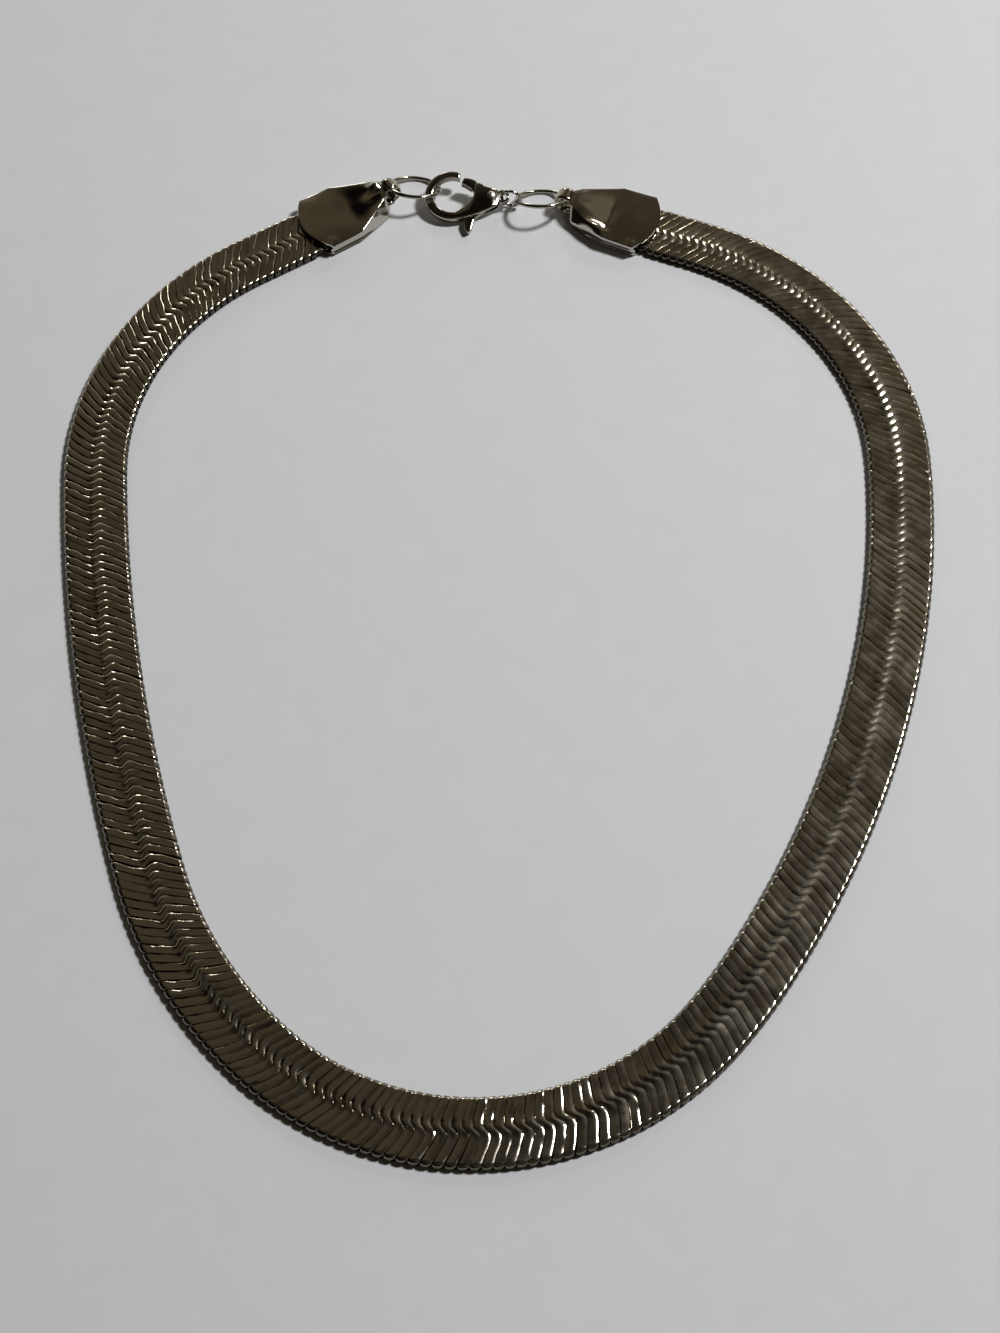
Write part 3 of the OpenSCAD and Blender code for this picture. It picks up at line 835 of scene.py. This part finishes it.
# %% Rivet
# a shank through both cheeks, and on each side a low dome that the setting tool has spread
SHANK_R, HEAD_FOOT, HEAD_EDGE, DOME_HIGH, DOME_POWER = 0.39, 1.0, 1.03, 0.19, 1.6
DOME_R = np.array([0.03, 0.18, 0.3, 0.42, 0.54, 0.62, 0.65])
dome_z = HEAD_EDGE + DOME_HIGH * (1 - (DOME_R / DOME_R[-1]) ** DOME_POWER)
profile = np.concatenate([np.stack([DOME_R, dome_z], -1), [(SHANK_R, HEAD_FOOT)]])
profile = np.concatenate([profile, profile[::-1] * (1, -1)])
shank = ring_of(profile, 40).transpose(1, 0, 2) + (*PIVOT, 0)
rivet = solid_piece("domed_rivet", [(in_clasp(shank), False)], pin_plate, sharp_deg=50)
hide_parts("clasp_rivet")

# %% [markdown]
# ## The sheet of paper
#
# The necklace lies on plain white paper. It is only a ground to stand on, so it is one wide
# sheet with the faint mottle of paper fibres.

# %% Paper
MOTTLE_MM = 6


def paper():
    """Matt off-white paper: its brightness wanders by a few hundredths over millimetres."""
    material = bpy.data.materials.new("matt_paper")
    material.use_nodes = True
    tree = material.node_tree
    shader = tree.nodes["Principled BSDF"]
    place = add_node(tree, "ShaderNodeTexCoord")
    mottle = add_node(tree, "ShaderNodeTexNoise", Vector=(place, "Object"),
                      Scale=1 / (MOTTLE_MM * MM), Detail=5.0, Roughness=0.6)
    tone = add_node(tree, "ShaderNodeMixRGB", Fac=(mottle, "Fac"), Color1=linear("c7c9cc"),
                    Color2=linear("cdcfd2"))
    tree.links.new(tone.outputs["Color"], shader.inputs["Base Color"])
    shader.inputs["Roughness"].default_value = 0.9
    return material


FLOOR_HALF = 8.0                       # in metres: low views see it as far as the horizon
floor_mesh = bpy.data.meshes.new("paper_floor")
floor_mesh.from_pydata([(-FLOOR_HALF, -FLOOR_HALF, 0), (FLOOR_HALF, -FLOOR_HALF, 0),
                        (FLOOR_HALF, FLOOR_HALF, 0), (-FLOOR_HALF, FLOOR_HALF, 0)],
                       [], [(0, 1, 2, 3)])
floor_mesh.materials.append(paper())
floor = bpy.data.objects.new("paper_floor", floor_mesh)
bpy.context.scene.collection.objects.link(floor)
print("the sheet is", 2 * FLOOR_HALF, "m wide")

# %% [markdown]
# ## Light
#
# Polished metal has hardly a colour of its own: it shows what stands round it. One soft lamp
# stands to the right and a little behind, high up. It throws the short shadow to the lower left
# and makes the white glints. Two weak ones further back, one of them low, put more glints on
# the hooks and the links' ends. The rest of the room is dim and warm, and that is what the flat
# faces of the metal reflect, so it sets their brown. A plain sky would leave them grey.

# %% Lamps
def lamp(name, azimuth, elevation, distance, size, watts, colour="ffffff"):
    """A square lamp that faces the middle of the necklace. Azimuth 0 is +X and 90 is +Y."""
    data = bpy.data.lights.new(name, "AREA")
    data.size = size
    data.energy = watts
    data.color = linear(colour)[:3]
    a, e = math.radians(azimuth), math.radians(elevation)
    back = Matrix.Rotation(a + math.pi / 2, 4, "Z") @ Matrix.Rotation(math.pi / 2 - e, 4, "X")
    item = bpy.data.objects.new(name, data)
    item.matrix_world = back @ Matrix.Translation((0, 0, distance))
    bpy.context.scene.collection.objects.link(item)
    return item


# azimuth and elevation in degrees, distance and side in metres, watts
lamp("key_lamp", 22, 54, 1.0, 0.16, 9.3, "fffefd")
lamp("window", 66, 30, 1.6, 0.25, 2.0, "fffcf6")
lamp("low_back_lamp", 100, 15, 1.6, 0.25, 2.5, "fffcf6")
print("lamps:", ", ".join(f"{light.name} {light.energy:.1f} W" for light in bpy.data.lights))

# %% Room
def direction(azimuth, elevation):
    """The unit vector that points this way, in degrees."""
    a, e = math.radians(azimuth), math.radians(elevation)
    return (math.cos(e) * math.cos(a), math.cos(e) * math.sin(a), math.sin(e))


# round places in the room that differ from the rest, as azimuth and elevation, how many
# degrees out they end and begin to fade, and colour: the dim side behind the camera's left,
# and a dark and a pale place that the caps mirror
ROOM_SPOTS = ((205, 20, 66, 40, "14110e"), (128, 47, 15, 9, "0e0c0a"), (58, 49, 11, 6, "756d5e"))
PATCHES = 2.2                          # to a radian, so each is some 26 degrees wide
# z of the direction where the dark overhead begins and is full, z where the pale far wall
# begins and is full, and its y, where that wall begins and is full
OVERHEAD_Z, FAR_WALL_Z, FAR_WALL_Y = (0.945, 0.98), (0.66, 0.38), (0.35, 0.75)


def room():
    """A dim room: soft brown patches some tens of degrees wide, darker overhead, with the
    round places, and with a pale far wall low down at the back. Each region is a dot product
    or a height that a range turns into a share."""
    world = bpy.data.worlds.new("dim_room")
    world.use_nodes = True
    tree = world.node_tree
    place = add_node(tree, "ShaderNodeTexCoord")
    patches = add_node(tree, "ShaderNodeTexNoise", Vector=(place, "Generated"), Scale=PATCHES,
                       Detail=1.0)
    spread = add_node(tree, "ShaderNodeMapRange", Value=(patches, "Fac"), From_Min=NOISE_LOW,
                      From_Max=NOISE_HIGH)
    wall = add_node(tree, "ShaderNodeMixRGB", Fac=(spread, "Result"), Color1=linear("2f2a22"),
                    Color2=linear("584f40"))
    up = add_node(tree, "ShaderNodeSeparateXYZ", Vector=(place, "Generated"))
    overhead = add_node(tree, "ShaderNodeMapRange", Value=(up, "Z"), From_Min=OVERHEAD_Z[0],
                        From_Max=OVERHEAD_Z[1])
    tone = add_node(tree, "ShaderNodeMixRGB", Fac=(overhead, "Result"), Color1=(wall, "Color"),
                    Color2=linear("15120f"))
    for azimuth, elevation, outside, inside, colour in ROOM_SPOTS:
        near = add_node(tree, "ShaderNodeVectorMath", {"operation": "DOT_PRODUCT"},
                        Vector=(place, "Generated"))
        near.inputs[1].default_value = direction(azimuth, elevation)
        share = add_node(tree, "ShaderNodeMapRange", Value=(near, "Value"),
                         From_Min=math.cos(math.radians(outside)),
                         From_Max=math.cos(math.radians(inside)))
        tone = add_node(tree, "ShaderNodeMixRGB", Fac=(share, "Result"),
                        Color1=(tone, "Color"), Color2=linear(colour))
    low = add_node(tree, "ShaderNodeMapRange", Value=(up, "Z"), From_Min=FAR_WALL_Z[0],
                   From_Max=FAR_WALL_Z[1])
    back = add_node(tree, "ShaderNodeMapRange", Value=(up, "Y"), From_Min=FAR_WALL_Y[0],
                    From_Max=FAR_WALL_Y[1])
    far = add_node(tree, "ShaderNodeMath", {"operation": "MULTIPLY"})
    tree.links.new(low.outputs["Result"], far.inputs[0])
    tree.links.new(back.outputs["Result"], far.inputs[1])
    tone = add_node(tree, "ShaderNodeMixRGB", Fac=(far, "Value"), Color1=(tone, "Color"),
                    Color2=linear("a8a393"))
    tree.links.new(tone.outputs["Color"], tree.nodes["Background"].inputs["Color"])
    return world


bpy.context.scene.world = room()
print("room of", len(bpy.context.scene.world.node_tree.nodes), "nodes")

# %% [markdown]
# ## Camera
#
# The photograph was taken from the front of the neck, well above it, with the camera turned a
# degree and a half. The band's even width gives the distance, height and angle.

# %% Camera
CAMERA_MM = (-0.36, -176.97, 280.76)
LOOK_DOWN_DEG, ROLL_DEG = 59.32, 1.606
FOCAL_PX, LONG_SIDE_PX, SENSOR_MM = 2200.0, 1333.0, 36.0
camera_data = bpy.data.cameras.new("camera")
camera_data.sensor_width = SENSOR_MM
camera_data.lens = FOCAL_PX / LONG_SIDE_PX * SENSOR_MM
camera_data.clip_start, camera_data.clip_end = 0.01, 10.0
camera = bpy.data.objects.new("camera", camera_data)
camera.matrix_world = (Matrix.Translation([c * MM for c in CAMERA_MM])
                       @ Matrix.Rotation(math.radians(90 - LOOK_DOWN_DEG), 4, "X")
                       @ Matrix.Rotation(math.radians(-ROLL_DEG), 4, "Z"))
bpy.context.scene.collection.objects.link(camera)
bpy.context.scene.camera = camera
bpy.context.scene.view_settings.view_transform = "Standard"
print("lens", round(camera_data.lens, 1), "mm on", SENSOR_MM, "mm")
